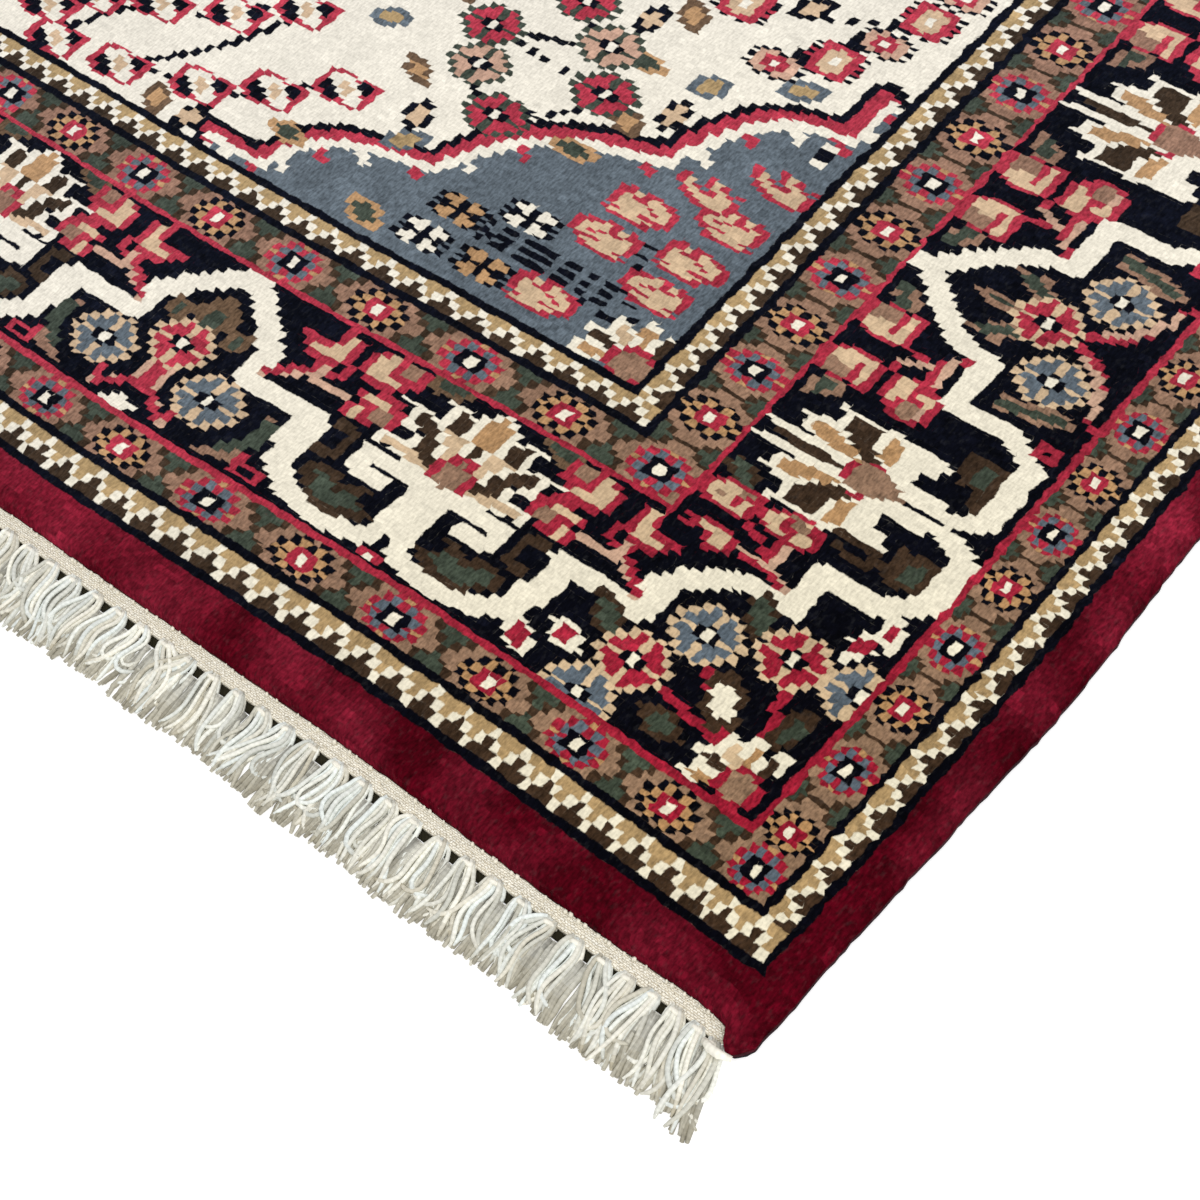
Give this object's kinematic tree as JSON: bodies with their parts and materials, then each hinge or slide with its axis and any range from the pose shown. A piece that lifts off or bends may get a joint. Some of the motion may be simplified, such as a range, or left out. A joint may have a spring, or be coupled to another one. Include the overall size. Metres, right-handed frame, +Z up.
{
  "type": "silk rug",
  "caption": "Small hand-knotted silk pile rug with a floral border, a flat-woven ivory strip at each end and short knotted cotton fringes, lying flat.",
  "frame": {"origin": "middle of the underside, on the floor", "axes": "+Z up from the floor through the pile, +Y along the rug's length away from the near fringe, +X across its width"},
  "size_m": [0.7578, 1.255, 0.006],
  "materials": {
    "silk_pile": "short cut silk pile with a soft sheen, crimson edge bands and a floral pattern",
    "cotton_warp": "matt ivory cotton, twisted strands and plain weave"
  },
  "bodies": {
    "root": {"rug_body": "silk_pile", "fringe_near": "cotton_warp", "fringe_far": "cotton_warp"}
  },
  "joints": []
}
